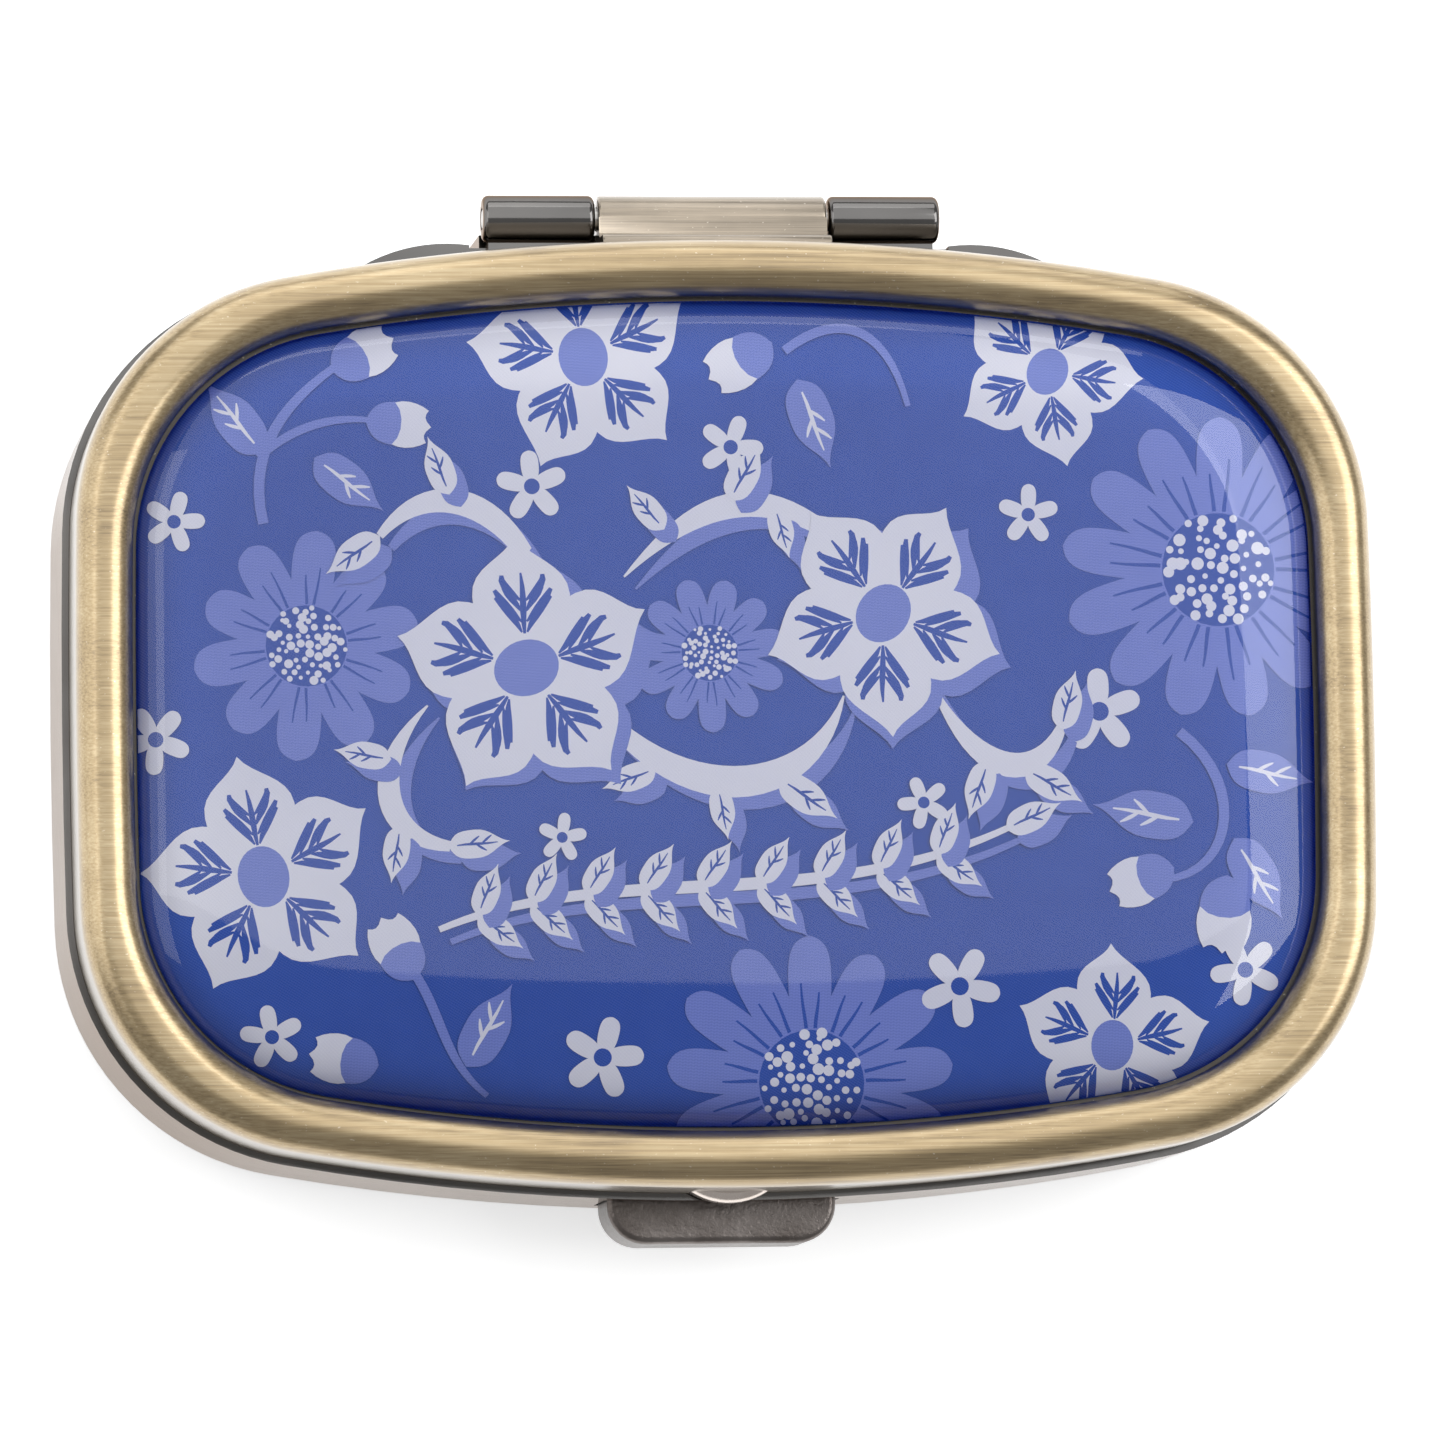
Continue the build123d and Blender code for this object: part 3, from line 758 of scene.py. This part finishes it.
def barrel(low, high, radius, rounding):
    """A knuckle: a tube along the hinge's axis with rounded ends."""
    curve = [math.pi / 2 * i / 6 for i in range(7)]
    rings = [round_ring(low, bore_radius)]
    rings += [round_ring(low + rounding * (1 - math.sin(a)), radius - rounding * (1 - math.cos(a)))
              for a in reversed(curve)]
    rings += [round_ring(high - rounding * (1 - math.sin(a)), radius - rounding * (1 - math.cos(a)))
              for a in curve]
    rings += [round_ring(high, bore_radius), rings[0]]
    return lofted(rings)


knuckle = piece("leaf_knuckle", barrel(leaf_low.x, leaf_high.x, knuckle_radius, end_round),
                hinge_brass, "lid")
web_top = hinge_axis.z + knuckle_radius
web_wall = 0.35 * mm
leaf_back = 23.48 * mm
leaf_foot = lid_low.z + 0.05 * mm
inner_round = 0.3 * mm
top_round = 0.4 * mm
buried = 0.2 * mm
bend = [math.pi / 2 * i / 6 for i in range(7)]
side_line = [(hinge_axis.y, web_top - web_wall), (hinge_axis.y, web_top)]
side_line += [(leaf_back + inner_round * (1 - math.sin(a)), web_top + inner_round * (1 - math.cos(a)))
              for a in bend]
side_line += [(leaf_back - top_round * (1 - math.cos(a)), leaf_high.z - top_round * (1 - math.sin(a)))
              for a in bend]
side_line += [(lid_high.y - buried, leaf_high.z), (lid_high.y - buried, leaf_foot)]
side_line += [(leaf_back + 0.2 * mm, leaf_foot), (leaf_back + 0.6 * mm, leaf_foot + 0.5 * mm)]
centre = (leaf_back - 0.2 * mm, leaf_high.z - 1.2 * mm)
end_bevel = 0.08 * mm
end_size = 0.94
rings = []
for x, part in ((leaf_low.x, end_size), (leaf_low.x + end_bevel, 1.0),
                (leaf_high.x - end_bevel, 1.0), (leaf_high.x, end_size)):
    rings.append([(x, centre[0] + (y - centre[0]) * part, centre[1] + (z - centre[1]) * part)
                  for y, z in side_line])
leaf_plate = piece("leaf_plate", lofted(rings), hinge_brass, "lid")
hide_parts("lid_hinge_leaf")
knuckle_gap = 0.15 * mm
for side, name in ((-1, "knuckle_left"), (1, "knuckle_right")):
    ends = sorted((side * (leaf_high.x + knuckle_gap - sleeve), side * (outer_reach + sleeve)))
    outer = piece(name, barrel(*ends, knuckle_radius + sleeve, outer_round), black_nickel, "base")
steel = Finish("plain_steel", metallic=1.0)
drawn = steel.grain((900, 6000, 6000), 2.0)
steel.paint("Base Color", steel.blend(drawn, (0.42, 0.41, 0.39), (0.58, 0.57, 0.55)))
steel.paint("Roughness", 0.24 + drawn * 0.12)
dress(hinge_brass, "lid_hinge_leaf", "lid_leaf_rivets")
dress(black_nickel, "hinge_plate", "hinge_plate_rivets")
dress(steel, "hinge_pin", "latch_bracket", "latch_rivets")


# ---------------------------------------------------------------- Pill tray
# A moulded plastic tray with two wells, pressed into the base.

tray_plastic = Finish("tray_plastic")
flow = tray_plastic.grain((160, 160, 160), 3.0)
satin = tray_plastic.grain((3500, 3500, 3500), 2.0)
tray_plastic.paint("Base Color", tray_plastic.blend(flow, (0.80, 0.79, 0.75), (0.88, 0.87, 0.84)))
tray_plastic.paint("Roughness", 0.32 + satin * 0.16)
tray_plastic.bump(satin, 0.01 * mm)
dress(tray_plastic, "pill_tray")


# ---------------------------------------------------------------- Thumb lip
# Half-moon lip on the lid's front edge, bright nickel, one piece with the catch behind it.

nickel = Finish("nickel", metallic=1.0)
worn = nickel.grain((700, 700, 700), 4.0)
nickel.paint("Base Color", nickel.blend(worn, (0.58, 0.50, 0.45), (0.72, 0.66, 0.61)))
nickel.paint("Roughness", 0.16 + worn * 0.14)
nickel.bump(worn, 0.01 * mm)
dress(nickel, "lid_catch")


# ---------------------------------------------------------------- Push button and latch
# Gunmetal button with a fine cast grain. Its steel hook catches the lid, and a leaf spring on
# the bracket behind pushes it out.

gunmetal = Finish("gunmetal", metallic=1.0)
cast = gunmetal.grain((4200, 4200, 4200), 3.0, 0.6)
cloud = gunmetal.grain((400, 400, 400), 3.0)
gunmetal.paint("Base Color", gunmetal.ramp(
    cloud, (0.3, (0.105, 0.09, 0.082)), (0.7, (0.19, 0.17, 0.16))))
gunmetal.paint("Roughness", 0.22 + cast * 0.2)
gunmetal.bump(cast, 0.03 * mm)
spring_steel = Finish("spring_steel", metallic=1.0)
rolled = spring_steel.grain((6000, 500, 6000), 2.0)
spring_steel.paint("Base Color", spring_steel.blend(rolled, (0.40, 0.41, 0.43), (0.56, 0.57, 0.60)))
spring_steel.paint("Roughness", 0.2 + rolled * 0.12)
dress(gunmetal, "push_button")
dress(spring_steel, "latch_hook", "button_spring")
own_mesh(nodes["button_spring"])


# ---------------------------------------------------------------- Floor, light and camera
# A pale sheet under plain softboxes: one overhead and behind, one each side and one low at
# the back. The camera looks almost straight down on the lid.

floor_half = 3.0
paper_glow = 0.5
floor_sheet = bmesh.new()
bmesh.ops.create_grid(floor_sheet, x_segments=1, y_segments=1, size=floor_half)
paper = Finish("floor_paper", roughness=0.9)
pulp = paper.grain((300, 300, 300), 4.0)
paper.paint("Base Color", paper.blend(pulp, (0.90, 0.90, 0.90), (0.93, 0.93, 0.93)))
paper.paint("Emission Color", (1, 1, 1, 1))
paper.paint("Emission Strength", paper_glow)
floor_mesh = bpy.data.meshes.new("floor")
floor_sheet.to_mesh(floor_mesh)
floor_sheet.free()
floor_mesh.materials.append(paper.material)
floor = bpy.data.objects.new("floor", floor_mesh)
bpy.context.scene.collection.objects.link(floor)


def softbox(name, middle, aim, width, height, brightness):
    """A soft panel that looks equally bright wherever it is seen from."""
    lamp = bpy.data.lights.new(name, "AREA")
    lamp.shape = "RECTANGLE"
    lamp.size = width
    lamp.size_y = height
    lamp.energy = brightness * math.pi * width * height
    box = bpy.data.objects.new(name, lamp)
    box.location = middle
    box.rotation_euler = (Vector(aim) - Vector(middle)).to_track_quat("-Z", "Y").to_euler()
    bpy.context.scene.collection.objects.link(box)


lid_middle = (0, 0, 0.015)
softbox("overhead", (-0.175, 0.50, 0.6), (-0.175, 0.50, 0), 0.85, 1.00, 1.25)
softbox("right", (0.386, 0.10, 0.475), lid_middle, 0.45, 0.37, 3.9)
softbox("left", (-0.46, 0.08, 0.26), lid_middle, 0.45, 0.50, 1.35)
softbox("back", (0.0, 0.55, 0.22), lid_middle, 0.50, 0.26, 1.9)
room_grey = (0.42, 0.42, 0.42, 1)
world = bpy.data.worlds.new("room")
world.use_nodes = True
world.node_tree.nodes["Background"].inputs["Color"].default_value = room_grey
bpy.context.scene.world = world
bpy.context.scene.view_settings.view_transform = "Standard"

lean_left = math.radians(7.65)
lean_front = math.radians(5.75)
camera_roll = math.radians(-0.98)
camera_distance = 0.5
aim_point = Vector((-0.51, -0.40, 15.0)) * mm
backward = Vector((-math.tan(lean_left), -math.tan(lean_front), 1)).normalized()
across = Vector((0, 1, 0)).cross(backward).normalized()
upward = backward.cross(across)
rightward = math.cos(camera_roll) * across + math.sin(camera_roll) * upward
upward = backward.cross(rightward)
lens = bpy.data.cameras.new("camera")
lens.sensor_width = 36
lens.lens = 259.6
lens.clip_start = 0.01
camera = bpy.data.objects.new("camera", lens)
camera.matrix_world = Matrix.Translation(aim_point + camera_distance * backward) @ Matrix(
    (rightward, upward, backward)).transposed().to_4x4()
bpy.context.scene.collection.objects.link(camera)
bpy.context.scene.camera = camera
